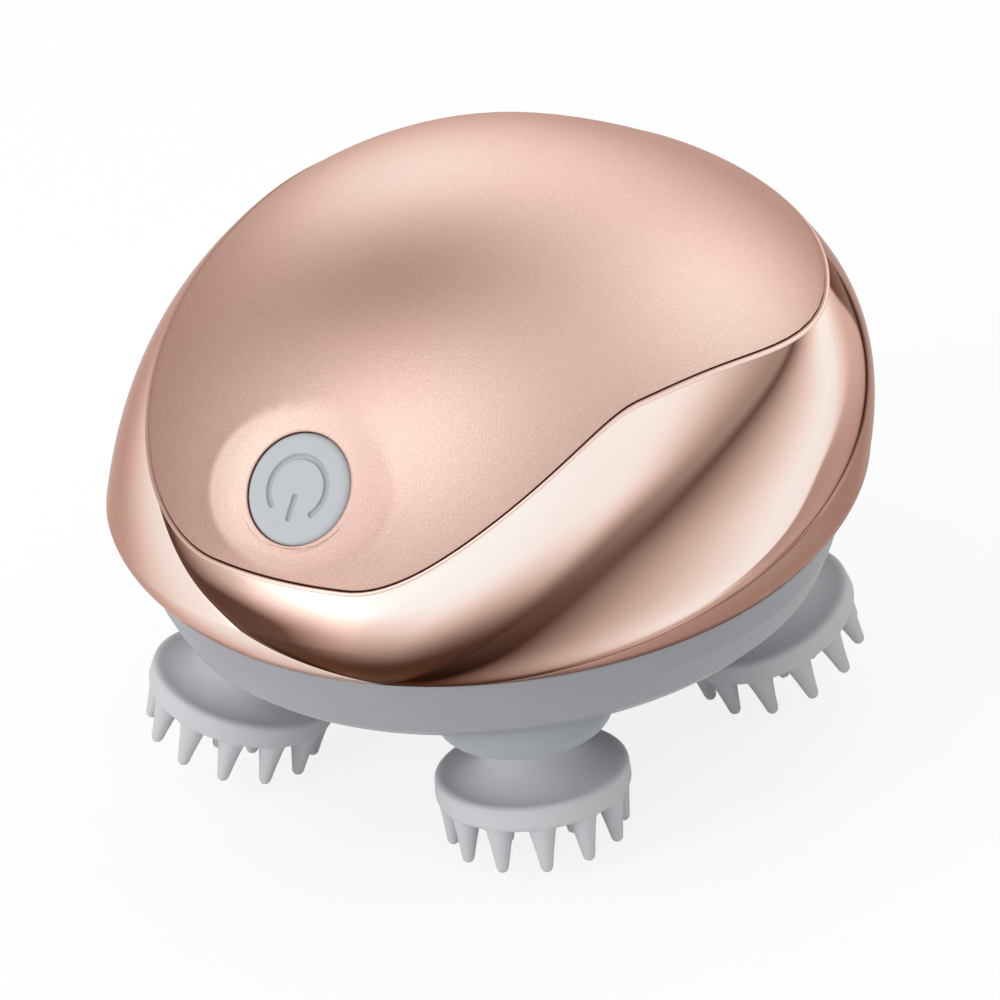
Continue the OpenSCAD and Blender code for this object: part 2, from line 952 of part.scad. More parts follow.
idler_gear();
motor_shaft();
motor_pinion();
planet_gear(front_left);  // front_left_planet
output_shaft(front_left);  // front_left_shaft
crank_hub(front_left);  // front_left_crank
head_pad(front_left);  // front_left_pad
planet_gear(front_right);  // front_right_planet
output_shaft(front_right);  // front_right_shaft
crank_hub(front_right);  // front_right_crank
head_pad(front_right);  // front_right_pad
planet_gear(back_right);  // back_right_planet
output_shaft(back_right);  // back_right_shaft
crank_hub(back_right);  // back_right_crank
head_pad(back_right);  // back_right_pad
planet_gear(back_left);  // back_left_planet
output_shaft(back_left);  // back_left_shaft
crank_hub(back_left);  // back_left_crank
head_pad(back_left);  // back_left_pad
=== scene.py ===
"""Looks of the electric scalp massager: skins, button, pads, finishes and studio."""
import cmath
import json
import math

import bmesh
import bpy
from mathutils import Matrix, Vector


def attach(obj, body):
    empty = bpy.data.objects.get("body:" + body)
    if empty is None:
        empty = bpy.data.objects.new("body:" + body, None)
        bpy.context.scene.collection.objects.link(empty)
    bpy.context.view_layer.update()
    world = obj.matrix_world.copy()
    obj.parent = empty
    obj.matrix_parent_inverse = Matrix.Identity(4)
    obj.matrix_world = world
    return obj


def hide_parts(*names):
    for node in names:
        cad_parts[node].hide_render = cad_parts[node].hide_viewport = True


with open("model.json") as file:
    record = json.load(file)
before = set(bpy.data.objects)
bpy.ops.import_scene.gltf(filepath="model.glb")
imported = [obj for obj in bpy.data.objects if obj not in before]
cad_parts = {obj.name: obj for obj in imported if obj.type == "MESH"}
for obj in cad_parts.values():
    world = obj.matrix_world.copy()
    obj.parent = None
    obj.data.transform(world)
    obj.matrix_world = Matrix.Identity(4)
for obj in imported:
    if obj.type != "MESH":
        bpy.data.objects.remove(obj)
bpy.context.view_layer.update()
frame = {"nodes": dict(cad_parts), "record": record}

bl_info = {
    "name": "Scalp massager looks",
    "version": (1, 0, 0),
    "blender": (4, 5, 0),
    "location": "3D View > Sidebar > Massager",
    "description": "Builds the skins, finishes and studio of an electric scalp massager",
    "category": "Object",
}

MM = 0.001

# Sizes that the skins share with the frame's solids, in millimetres
BODY_R = 58.5
RIM_R = 54.0
RIM_Z = 41.1
WAIST_Z = 49.0
CROWN_Z = 96.0
CROWN_BACK = 18.0
DOME_POWER = 2.2
UNDER_POWER = 1.8
FLAT_DEPTH = 0.9
SKIN_WALL = 2.4
RIM_WALL = 2.2
FOLD_ROOM = 1.4
SEAM_LOW = 57.0
SEAM_SHELF = 76.2
SEAM_HIGH = 85.0
SEAM_GAP = 0.06
BUTTON_R = 8.35
BUTTON_AZ = -83.5
BUTTON_Z = 68.5
BUTTON_TILT = 49.0
BUTTON_TURN = -80.0
FLANGE_R = BUTTON_R + 0.75
HOLE_R = BUTTON_R + 0.06
DISH_DEPTH = 0.8
PAD_R = 14.75
NECK_R = 6.0
CLAW_RING = 12.0
CLAW_REACH = 11.6
CLAW_SPLAY = 5.4
CRANK_R = 36.46
CRANK_Z = 14.21
SHAFT_LEAN = 12.37
CRANK_THROW = 5.14
PIN_SLANT = 6.87

# Each drive corner: compass angle, crank turn, claw turn
CORNERS = {
    "front_left": (225.0, -23.0, 44.5),
    "front_right": (315.0, 176.5, 3.6),
    "back_right": (45.0, 43.6, -0.85),
    "back_left": (135.0, 180.0, 8.0),
}

# Fine forms of the skins, in millimetres, and how finely they are divided
BEAD_WIDTH = 0.55
BEAD_SWELL = 0.24
BEAD_STEPS = (25, 50, 75, 100, 125, 150, 172)
EDGE_INSET = 0.3
EDGE_LIFT = 0.25
RIM_SHARE = 0.0045
RIM_DEPTH = 0.25
RIM_STEPS = (15, 35, 50, 62, 75, 90)
HOLE_FILLET = 0.15
DISH_LENGTH = 12.2
DISH_WIDTH = 15.6
SYMBOL_R = 4.65
SYMBOL_GAP = 47.0
SYMBOL_TURN = 3.0
SYMBOL_BAR = (1.3, 4.5)
SYMBOL_LINE = (0.34, 0.5)
SYMBOL_DEPTH = 0.42
FACE_FLAT_R = 6.15
CLAW_TIP_R = 1.0
CLAW_ROOT_Z = -2.6
SHELL_COLUMNS = (10, 72, 60, 52, 10, 156)
SHELL_ROWS = 104
LINING_ROWS = 10
COVER_COLUMNS = 560
NEAR_RINGS = 30
FAR_RINGS = 44

# Painted shade of what lies inside or in a shadow, on a scale of painted light and shade from 0
# in a crease to 1 on a crest
LINING_PAINTED_SHADE = 0.3
GAP_PAINTED_SHADE = 0.16
WALL_PAINTED_SHADE = 0.2

# Painted sheens of the satin cover, broad painted highlights and one painted shade where the
# strength is below 0: strength, centre and reach in millimetres
COVER_PAINTED_SHEENS = (
    (1.4, (19.0, -41.0, 87.0), 31.0),
    (1.15, (47.5, 7.5, 84.0), 21.0),
    (1.55, (-13.5, -1.5, 98.0), 21.0),
    (0.85, (10.0, 9.0, 86.0), 19.0),
    (-1.0, (5.5, -20.5, 90.0), 22.0),
)

# Rose gold from the painted shade of a crease to the painted highlight of a bright crest: place
# on the ramp, colour
GOLD_SHADING_RAMP = (
    (0.0, (0.012, 0.005, 0.003)),
    (0.05, (0.085, 0.036, 0.024)),
    (0.11, (0.18, 0.09, 0.068)),
    (0.28, (0.39, 0.24, 0.195)),
    (0.40, (0.55, 0.356, 0.30)),
    (0.64, (0.82, 0.59, 0.51)),
    (0.82, (0.94, 0.76, 0.68)),
    (1.0, (0.97, 0.89, 0.835)),
)

# Camera, in millimetres and degrees; lamps and floor, in metres
CAMERA_SPOT = (399.574, -433.540, 363.588)
CAMERA_AIM = (-0.836, 2.808, 40.0)
CAMERA_ROLL = 6.187
CAMERA_LENS = 157.495
LAMP_AIM = (0.0, 0.0, 0.05)
FLOOR_HALF = 6.0
FLOOR_GLOW = 1.05
FLOOR_GLOW_SHARE = 0.78


def ramp(low, high, x):
    """A soft step from 0 at low to 1 at high."""
    t = min(1.0, max(0.0, (x - low) / (high - low)))
    return t * t * (3.0 - 2.0 * t)


def mix(a, b, t):
    return a + (b - a) * t


def wrap(az):
    return (az + 180.0) % 360.0 - 180.0


def polar(r, az):
    return r * math.cos(math.radians(az)), r * math.sin(math.radians(az))


# ---------------------------------------------------------------- body forms
def seam_z(az):
    """Height of the seam round the body."""
    return (
        SEAM_LOW
        + (SEAM_HIGH - SEAM_LOW) * (1.0 - ramp(-166.0, -95.0, az))
        + (SEAM_SHELF - SEAM_LOW) * ramp(-72.0, -30.0, az)
        + (SEAM_HIGH - SEAM_SHELF) * ramp(30.0, 90.0, az)
        + 1.1 * math.cos(math.radians(5.5 * (az + 18.4)))
        * ramp(-60.0, -30.0, az) * (1.0 - ramp(20.0, 55.0, az))
    )


def round_power(az):
    """Power of the dome's curve: largest in front, smallest at the back."""
    return 2.05 - 0.74 * math.sin(math.radians(az))


def rear_flat(az, rise):
    """Slight flat low on the back, where the charging socket is."""
    return FLAT_DEPTH * ramp(40.0, 80.0, az) * (1.0 - ramp(100.0, 140.0, az)) \
        * (1.0 - ramp(0.35, 0.75, rise))


def body_point(az, z, inset):
    """A point of the body at a height, moved inwards by inset."""
    rise = max(0.0, (z - WAIST_Z) / (CROWN_Z - WAIST_Z - inset))
    drop = max(0.0, (WAIST_Z - z) / (WAIST_Z - RIM_Z))
    r = (BODY_R - inset) * max(0.0, 1.0 - rise ** DOME_POWER) ** (1.0 / round_power(az))
    r -= (BODY_R - RIM_R) * drop ** UNDER_POWER + rear_flat(az, rise)
    x, y = polar(r, az)
    return Vector((x, y + CROWN_BACK * rise, z))


# The four lines of the swirl: compass angle by share of the way from lower edge to seam
def panel_line(v):
    return -66.3 - 42.5 * v - 5.0 * v ** 14


def valley_line(v):
    return -67.5 + 71.5 * v ** 1.25


def crest_line(v):
    full = -59.0 + 81.0 * (0.84 * (1.0 - math.exp(-((v / 0.26) ** 1.3))) + 0.16 * v)
    return mix(valley_line(v), full, 1.0 - 0.16 * ramp(0.2, 0.55, v))


def band_line(v):
    return -57.0 + 93.0 * (1.0 - (1.0 - v) ** 3)


# ---------------------------------------------------------------- mesh helpers
def new_piece(name, bm, body, material, sharp=None):
    """Turns a finished bmesh, in millimetres, into a piece that rides on a body."""
    bmesh.ops.scale(bm, vec=(MM, MM, MM), verts=bm.verts)
    mesh = bpy.data.meshes.new(name)
    bm.to_mesh(mesh)
    bm.free()
    mesh.materials.append(material)
    mesh.shade_smooth()
    if sharp is not None:
        mesh.set_sharp_from_angle(angle=math.radians(sharp))
    piece = bpy.data.objects.new(name, mesh)
    bpy.context.scene.collection.objects.link(piece)
    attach(piece, body)
    return piece


def hoop_grid(columns, rings, place):
    """A closed hoop of quads: place(i, j) gives a vertex's point and its level of painted light
    and shade.
    """
    bm = bmesh.new()
    bmesh.ops.create_grid(bm, x_segments=columns, y_segments=rings, size=1.0)
    layer = bm.verts.layers.float.new("painted_shading")
    for vert in bm.verts:
        i = round((vert.co.x + 1.0) / 2.0 * columns) % columns
        j = round((vert.co.y + 1.0) / 2.0 * rings) % rings
        vert.co, vert[layer] = place(i, j)
    return bm


def close_hoop(bm):
    bmesh.ops.remove_doubles(bm, verts=bm.verts, dist=1e-5)
    bmesh.ops.recalc_face_normals(bm, faces=bm.faces)


def spun(bm, profile, steps, matrix=None):
    """Spins a half section of (radius, height) points into a closed body."""
    verts = [bm.verts.new((r, 0.0, z)) for r, z in profile]
    edges = [bm.edges.new(pair) for pair in zip(verts, verts[1:])]
    old = set(bm.verts) - set(verts)
    bmesh.ops.spin(bm, geom=verts + edges, cent=(0, 0, 0), axis=(0, 0, 1),
                   angle=2.0 * math.pi, steps=steps, use_merge=True)
    made = [v for v in bm.verts if v not in old]
    bmesh.ops.remove_doubles(bm, verts=made, dist=1e-5)
    made = [v for v in bm.verts if v not in old]
    bmesh.ops.recalc_face_normals(bm, faces=list({f for v in made for f in v.link_faces}))
    if matrix is not None:
        bmesh.ops.transform(bm, matrix=matrix, verts=made)
    return made


def on_button():
    """Matrix of the button's own frame, in millimetres: z along its travel."""
    return (
        Matrix.Translation(body_point(BUTTON_AZ, BUTTON_Z, 0.0))
        @ Matrix.Rotation(math.radians(BUTTON_TURN), 4, "Z")
        @ Matrix.Rotation(math.radians(BUTTON_TILT), 4, "Y")
    )


# ---------------------------------------------------------------- swirl shell
def shell_columns(sizes):
    """Columns of the shell as (zone, share): lip, ribbon, flank, crest, step, back."""
    columns = []
    for zone, count in enumerate(sizes):
        columns += [(zone, i / count) for i in range(count)]
    return columns


def column_az(column, v):
    zone, share = column
    lip = mix(0.015, 0.42, ramp(0.0, 0.4, v))
    panel, valley, crest, band = panel_line(v), valley_line(v), crest_line(v), band_line(v)
    if zone == 0:
        return mix(panel - lip, panel + lip, share)
    if zone == 1:
        return mix(panel + lip, valley, share)
    if zone == 2:
        return mix(valley, crest, share)
    if zone == 3:
        return mix(crest, band - lip, share)
    if zone == 4:
        return mix(band - lip, band + lip, share)
    return mix(band + lip, panel + 360.0 - lip, share)


def fold_depth(column, v, sizes):
    """How far the surface lies under the plain body across the swirl."""
    zone, share = column
    swell, valley = -sizes.ribbon_swell / MM, sizes.valley_depth / MM
    tuck, step = sizes.tuck_depth / MM, sizes.band_step / MM
    if zone == 0:
        return tuck * ramp(0.0, 1.0, share)
    if zone == 1 and share < 0.5:
        return mix(tuck, swell, ramp(0.0, 0.5, share))
    if zone == 1:
        return mix(swell, valley, ramp(0.5, 1.0, share))
    if zone == 2:
        return mix(valley, swell, ramp(0.0, 1.0, share))
    if zone == 3:
        crisp = 1.0 - (1.0 - share) ** 1.7
        return mix(swell, step, mix(ramp(0.0, 1.0, share), crisp, ramp(0.2, 0.35, v)))
    if zone == 4:
        return step * (1.0 - ramp(0.0, 1.0, share))
    return 0.0


def fold_fade(column, v):
    """The folds run out at the lower edge, and close under the seam."""
    zone, share = column
    start = {0: 0.9, 1: mix(0.9, 0.6, share), 2: mix(0.6, 0.75, share)}.get(zone, 0.75)
    return ramp(0.0, 0.42, v) * (1.0 - ramp(start, 1.0, v))


def valley_painted_shade(v):
    """Painted shade of the valley: darkest near the lower edge, where the two ribbons meet."""
    return mix(0.0, 0.03, ramp(0.14, 0.3, v)) + 0.23 * ramp(0.28, 0.78, v)


def ribbon_painted_light(share, v):
    """Painted light and shade of the first ribbon, from the painted shade of the tuck beside the
    panel to the valley.
    """
    lit = ramp(0.34, 0.8, v)
    start = 0.17 * (1.0 - ramp(0.6, 0.85, v))
    climb = (share - start) / (mix(0.5, 0.3, ramp(0.7, 0.9, v)) - start)
    painted_shading = 0.03 * ramp(0.05, 0.2, v) + 0.03 * ramp(0.2, 0.45, v)
    painted_shading += 0.98 * min(1.0, max(0.0, climb)) * lit
    painted_shading = min(1.0, painted_shading) * (1.0 - 0.08 * ramp(0.55, 0.7, share))
    fall = ramp(mix(0.82, 0.74, ramp(0.62, 0.92, v)), 1.0, share)
    return mix(painted_shading, valley_painted_shade(v), fall)


def flank_painted_light(share, v):
    """Painted light and shade from the valley up to the painted highlight on the crest of the
    second ribbon.
    """
    dark = mix(0.0, 0.09, ramp(0.12, 0.5, v))
    valley = mix(valley_painted_shade(v), dark, ramp(0.0, 0.17, share))
    width = mix(0.8, 0.68, ramp(0.2, 0.5, v)) - 0.1 * ramp(0.78, 0.95, v)
    climb = min(1.0, max(0.0, share - 0.17) / width)
    top = 0.95 * ramp(0.02, 0.22, v)
    painted_shading = max(valley if share < 0.17 else dark, mix(dark, top, climb))
    return painted_shading * (1.0 - 0.04 * ramp(0.82, 1.0, share))


def crest_painted_light(share, v):
    """Painted light and shade of the soft band behind the second crest, with a painted dark wedge
    of shade at its far edge.
    """
    low = mix(0.83 * ramp(0.02, 0.22, v), 0.42, ramp(0.0, 0.5, share) * ramp(0.1, 0.2, v))
    soft = mix(0.07, 0.45, ramp(0.5, 0.85, v))
    flat = mix(0.34, 0.56, ramp(0.45, 0.8, v))
    high = mix(0.86, flat, ramp(0.0, soft, share)) + 0.05 * ramp(0.1, 0.6, share)
    painted_shading = mix(low, high, ramp(0.2, 0.3, v))
    width = 0.05 + 0.5 * ramp(0.55, 1.0, v) ** 2
    painted_wedge_shade = ramp(0.94 - width, 1.02 - width, share) * ramp(0.3, 0.5, v)
    return mix(painted_shading, 0.06, painted_wedge_shade)


def back_panel_painted_light(az, v):
    """Painted light and shade of the plain panel: a painted highlight towards the edge that tucks
    over the ribbon, painted shade on the part beside the band, and a short painted dark line of
    shade just under the seam.
    """
    behind = (panel_line(v) - az) % 360.0
    painted_seam_shade = ramp(0.96, 0.98, v) * ramp(-140.0, -126.0, az) * (1.0 - ramp(-112.0, -108.0, az))
    painted_shading = 0.42 + 0.46 * (1.0 - ramp(0.0, 38.0, behind)) \
        - 0.14 * ramp(-50.0, -10.0, az) * (1.0 - ramp(60.0, 90.0, az))
    return mix(painted_shading, 0.07, painted_seam_shade)


def shell_painted_light(column, v, az):
    """Painted light and shade of the shell's metal, from painted shade at 0 in the creases to
    painted highlights at 1 on the crests.
    """
    zone, share = column
    if zone == 0:
        return mix(back_panel_painted_light(az, v), ribbon_painted_light(0.0, v), ramp(0.0, 0.22, share))
    if zone == 1:
        return ribbon_painted_light(share, v)
    if zone == 2:
        return flank_painted_light(share, v)
    if zone == 3:
        return crest_painted_light(share, v)
    if zone == 4:
        return mix(crest_painted_light(1.0, v), back_panel_painted_light(az, v), ramp(0.3, 0.8, share))
    return back_panel_painted_light(az, v)


def build_swirl(sizes, material):
    """The glossy shell's skin: one closed hoop, outside, bead, lining and lower edge."""
    columns = shell_columns(SHELL_COLUMNS)
    rings = [("edge", 0.0, EDGE_INSET)]
    rings += [("skin", (k / SHELL_ROWS) ** 1.35, 0.0) for k in range(SHELL_ROWS + 1)]
    rings += [("bead", 0.5 + 0.5 * math.cos(a), -BEAD_SWELL * math.sin(a) ** 0.7)
              for a in map(math.radians, BEAD_STEPS)]
    rings += [("bead", 0.0, 0.3), ("bead", 0.0, SKIN_WALL), ("bead", 2.0 / BEAD_WIDTH, SKIN_WALL)]
    rings += [("lining", 0.85 * (1.0 - k / LINING_ROWS), 0.0) for k in range(LINING_ROWS + 1)]

    def place(i, j):
        kind, t, inset = rings[j]
        column = columns[i]
        top_az = wrap(column_az(column, 1.0))
        if kind == "bead":
            # The bead gets a painted highlight that grows lighter past the front towards the
            # right, painted shade along its top beside the gap, and painted shade on its inner
            # side down in the gap.
            shade = 0.4 + 0.35 * ramp(-112.0, -84.0, top_az)
            painted_shading = GAP_PAINTED_SHADE if inset > 0.0 else mix(shade, 0.3, ramp(0.25, 0.0, t))
            return body_point(top_az, seam_z(top_az) - BEAD_WIDTH * t, inset), painted_shading
        if kind == "skin":
            v = t * (1.0 - BEAD_WIDTH / (seam_z(top_az) - RIM_Z))
            az = wrap(column_az(column, v))
            z = mix(RIM_Z, seam_z(az), v) + EDGE_LIFT * (1.0 - ramp(0.0, 0.03, v))
            depth = fold_depth(column, v, sizes) * fold_fade(column, v)
            return body_point(az, z, depth), shell_painted_light(column, v, az)
        # The lower edge and the lining inside are given painted shade.
        if kind == "edge":
            return body_point(wrap(column_az(column, 0.0)), RIM_Z, inset), LINING_PAINTED_SHADE
        az = wrap(column_az(column, t))
        inset = mix(RIM_WALL, SKIN_WALL + FOLD_ROOM, ramp(0.0, 0.2, t))
        return body_point(az, mix(RIM_Z, seam_z(az), t), inset), LINING_PAINTED_SHADE

    bm = hoop_grid(len(columns), len(rings), place)
    close_hoop(bm)
    piece = new_piece("swirl_skin", bm, "housing", material, sharp=50.0)
    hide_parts("swirl_shell")


# ---------------------------------------------------------------- top cover
def crown_arc(az, psi):
    """Share of the body's radius and of its rise at an angle psi from the crown."""
    p, c, s = round_power(az), max(0.0, math.cos(psi)), math.sin(psi)
    a, b, reach = s ** p, c ** DOME_POWER, 1.0
    for _ in range(6):
        f = a * reach ** p + b * reach ** DOME_POWER - 1.0
        slope = a * p * reach ** (p - 1.0) + b * DOME_POWER * reach ** (DOME_POWER - 1.0)
        reach -= f / slope
    return reach * s, reach * c


def edge_angle(az, inset):
    """Angle from the crown to the cover's edge."""
    rise = (seam_z(az) + SEAM_GAP - WAIST_Z) / (CROWN_Z - WAIST_Z - inset)
    return math.atan2((1.0 - rise ** DOME_POWER) ** (1.0 / round_power(az)), rise)


def cover_point(w, inset):
    """The cover's surface from a disc: centre at the crown, rim at the seam."""
    az = math.degrees(cmath.phase(w)) if w else 0.0
    across, rise = crown_arc(az, abs(w) * edge_angle(az, inset))
    x, y = polar((BODY_R - inset) * across, az)
    return Vector((x, y + CROWN_BACK * rise, WAIST_Z + (CROWN_Z - WAIST_Z - inset) * rise))


def disc_spot(point):
    """Where a point of the plain body lies on the cover's disc."""
    rise = (point.z - WAIST_Z) / (CROWN_Z - WAIST_Z)
    y = point.y - CROWN_BACK * rise
    az = math.degrees(math.atan2(y, point.x))
    psi = math.atan2(math.hypot(point.x, y) / BODY_R, rise)
    return cmath.rect(psi / edge_angle(az, 0.0), math.radians(az))


def body_under(x, y, matrix):
    """The plain body's point under (x, y) of the button's frame."""
    def outside(t):
        p = matrix @ Vector((x, y, t))
        rise = max(0.0, (p.z - WAIST_Z) / (CROWN_Z - WAIST_Z))
        across = p.y - CROWN_BACK * rise
        az = math.degrees(math.atan2(across, p.x))
        r = BODY_R * max(0.0, 1.0 - rise ** DOME_POWER) ** (1.0 / round_power(az))
        return math.hypot(p.x, across) - r

    low, high = -12.0, 4.0
    for _ in range(40):
        middle = (low + high) / 2.0
        if outside(middle) > 0.0:
            high = middle
        else:
            low = middle
    return matrix @ Vector((x, y, high))


def in_dish(point, matrix):
    """The point in the button's frame, and its share of the way to the dish's rim."""
    local = matrix.inverted() @ point
    if local.z < -25.0:
        return local, 9.0
    return local, math.hypot(local.x / DISH_LENGTH, local.y / DISH_WIDTH)


def dished(point, matrix):
    """Presses the shallow dish round the button into the cover."""
    local, reach = in_dish(point, matrix)
    if reach > 2.0:
        return point
    az = math.degrees(math.atan2(point.y - CROWN_BACK * (point.z - WAIST_Z)
                                 / (CROWN_Z - WAIST_Z), point.x))
    away = math.hypot(local.x, local.y)
    end = mix(14.0, 19.0, (local.y / max(away, 1.0)) ** 2)
    share = (1.0 - ramp(9.0, end, away)) * ramp(0.0, 4.0, point.z - seam_z(az))
    local.z -= share * (DISH_DEPTH + local.z)
    return matrix @ local


def cover_painted_sheen(point, matrix):
    """Painted sheen of the cover: a few broad soft painted highlights and one patch of painted
    shade, and a dish painted lighter, most on one side, with painted shade on the other side.
    """
    local, reach = in_dish(point, matrix)
    inside = 1.0 - ramp(0.94, 1.05, reach)
    side = max(-1.0, min(1.0, local.y / DISH_WIDTH))
    painted_shading = 0.86 + inside * (0.27 - 0.6 * side)
    for strength, centre, size in COVER_PAINTED_SHEENS:
        painted_shading += strength * math.exp(-(point - Vector(centre)).length_squared / size ** 2)
    return 0.02 + 0.33 * min(2.4, painted_shading)


def build_cover(material):
    """The cover's skin: rings run from the button's hole to the seam and back inside."""
    matrix = on_button()
    count = COVER_COLUMNS
    centre = disc_spot(matrix.translation)
    angles = [2.0 * math.pi * i / count for i in range(count)]
    test_r = 3.0
    near = []
    for a in angles:
        spot = disc_spot(body_under(test_r * math.cos(a), test_r * math.sin(a), matrix))
        near.append(spot - centre)
    reach = test_r / (sum(abs(n) for n in near) / count / (1.0 - abs(centre) ** 2))
    turns = [cmath.phase(n) for n in near]

    def spread(radius, i):
        zeta = cmath.rect(radius, turns[i])
        return (1.0 - RIM_SHARE) * (zeta + centre) / (1.0 + centre.conjugate() * zeta)

    rings = [("wall", -3.0), ("wall", -1.25)]
    rings += [("fillet", math.radians(a)) for a in (0, 30, 60, 90)]
    close = [HOLE_R + HOLE_FILLET + 13.0 * (k / NEAR_RINGS) ** 1.1
             for k in range(1, NEAR_RINGS + 1)]
    rings += [("near", r) for r in close]
    last = close[-1] / reach
    rings += [("far", last + (0.97 - last) * math.sin(math.radians(90 * k / FAR_RINGS)))
              for k in range(1, FAR_RINGS + 1)]
    rings += [("far", 0.98), ("far", 0.988), ("far", 0.995), ("far", 1.0)]
    rings += [("round", math.radians(a)) for a in RIM_STEPS]
    rings += [("inner", 1.0 - 0.72 * (k / 10.0)) for k in range(11)]

    def spot_of(i, r):
        zeta = spread(min(0.97, r / reach), i)
        share = ramp(HOLE_R + 0.5, HOLE_R + 4.0, r)
        if share >= 1.0:
            return zeta
        a = angles[i]
        exact = disc_spot(body_under(r * math.cos(a), r * math.sin(a), matrix))
        return exact * (1.0 - share) + zeta * share

    def place(i, j):
        kind, t = rings[j]
        a = angles[i]
        # The hole's wall and the lining inside the cover are given painted shade.
        if kind == "wall":
            return matrix @ Vector((HOLE_R * math.cos(a), HOLE_R * math.sin(a), t)), WALL_PAINTED_SHADE
        if kind == "fillet":
            r = HOLE_R + HOLE_FILLET * (1.0 - math.cos(t))
            z = -DISH_DEPTH - HOLE_FILLET * (1.0 - math.sin(t))
            # Painted shade on the hole's rounded edge, lighter towards the dish.
            return matrix @ Vector((r * math.cos(a), r * math.sin(a), z)), 0.3 + 0.2 * math.sin(t)
        if kind in ("near", "far"):
            point = cover_point(spot_of(i, t) if kind == "near" else spread(t, i), 0.0)
            return dished(point, matrix), cover_painted_sheen(point, matrix)
        if kind == "round":
            w = spread(1.0, i)
            w *= (1.0 - RIM_SHARE * (1.0 - math.sin(t))) / abs(w)
            # Painted shade of the seam's gap along the cover's rounded edge, dark over most of
            # the rounding.
            painted_shading = mix(0.5, 0.12, ramp(0.15, 0.5, t))
            return cover_point(w, RIM_DEPTH * (1.0 - math.cos(t))), painted_shading
        return cover_point(spread(t, i), SKIN_WALL), LINING_PAINTED_SHADE

    bm = hoop_grid(count, len(rings), place)
    close_hoop(bm)
    piece = new_piece("cover_skin", bm, "housing", material, sharp=50.0)
    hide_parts("top_cover")


# ---------------------------------------------------------------- power button
def symbol_depth(x, y):
    """Share of the groove's depth of the power symbol at a point of the button's face."""
    turn = math.radians(SYMBOL_TURN)
    u = x * math.cos(turn) - y * math.sin(turn)
    w = x * math.sin(turn) + y * math.cos(turn)
    gap = math.radians(SYMBOL_GAP)
    if abs(math.atan2(w, u)) > gap:
        ring = abs(math.hypot(u, w) - SYMBOL_R)
    else:
        ring = math.hypot(u - SYMBOL_R * math.cos(gap), abs(w) - SYMBOL_R * math.sin(gap))
    bar = math.hypot(u - min(SYMBOL_BAR[1], max(SYMBOL_BAR[0], u)), w)
    return 1.0 - ramp(*SYMBOL_LINE, min(ring, bar))


def face_height(r):
    """Height of the button's face: almost flat, then a round edge."""
    edge = max(0.0, (r - FACE_FLAT_R) / (BUTTON_R - FACE_FLAT_R))
    return -0.45 - 0.05 * min(1.0, r / FACE_FLAT_R) - 0.8 * edge ** 4.5


def build_button(material):
    """The power button: a soft-edged cap with an engraved symbol, and its flange."""
    bm = bmesh.new()
    radii = [BUTTON_R * k / 116.0 for k in range(117)]
    profile = [(r, face_height(r)) for r in radii]
    profile += [(BUTTON_R, z) for z in (-1.5, -2.4, -4.5)]
    profile += [(FLANGE_R, -4.5), (FLANGE_R, -6.0), (0.0, -6.0)]
    spun(bm, profile, 300)
    layer = bm.verts.layers.float.new("painted_shading")
    for vert in bm.verts:
        face = vert.co.z > -0.6
        depth = symbol_depth(vert.co.x, vert.co.y) if face else 0.0
        vert.co.z -= SYMBOL_DEPTH * depth
        # Painted shade in the engraved symbol's groove.
        vert[layer] = 1.0 - 0.14 * depth
    bmesh.ops.transform(bm, matrix=on_button(), verts=bm.verts)
    piece = new_piece("button_cap", bm, "button", material, sharp=40.0)
    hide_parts("power_button")


# ---------------------------------------------------------------- massage pads
def turned(axis, angle):
    return Matrix.Rotation(math.radians(angle), 4, axis)


def on_pad(corner):
    """Matrix of a pad's own frame at rest, in millimetres."""
    az, crank, claws = corner
    shaft = turned("Z", az) @ Matrix.Translation((CRANK_R, 0, CRANK_Z)) @ turned("Y", -SHAFT_LEAN)
    pin = turned("Z", crank) @ Matrix.Translation((CRANK_THROW, 0, 0)) @ turned("Y", -PIN_SLANT)
    return shaft @ pin @ turned("Z", claws)


def claw_profile(root_r, reach):
    """Half section of a claw: a round tip that swells towards its root."""
    tip = [(0.0, -reach)]
    tip += [(CLAW_TIP_R * math.cos(a), CLAW_TIP_R * (1.0 + math.sin(a)) - reach)
            for a in map(math.radians, (-65, -40, -20, 0))]
    side = [(mix(CLAW_TIP_R, root_r, t ** 1.15), mix(CLAW_TIP_R - reach, CLAW_ROOT_Z, t))
            for t in (0.2, 0.4, 0.6, 0.8, 1.0)]
    return tip + side + [(0.0, CLAW_ROOT_Z)]


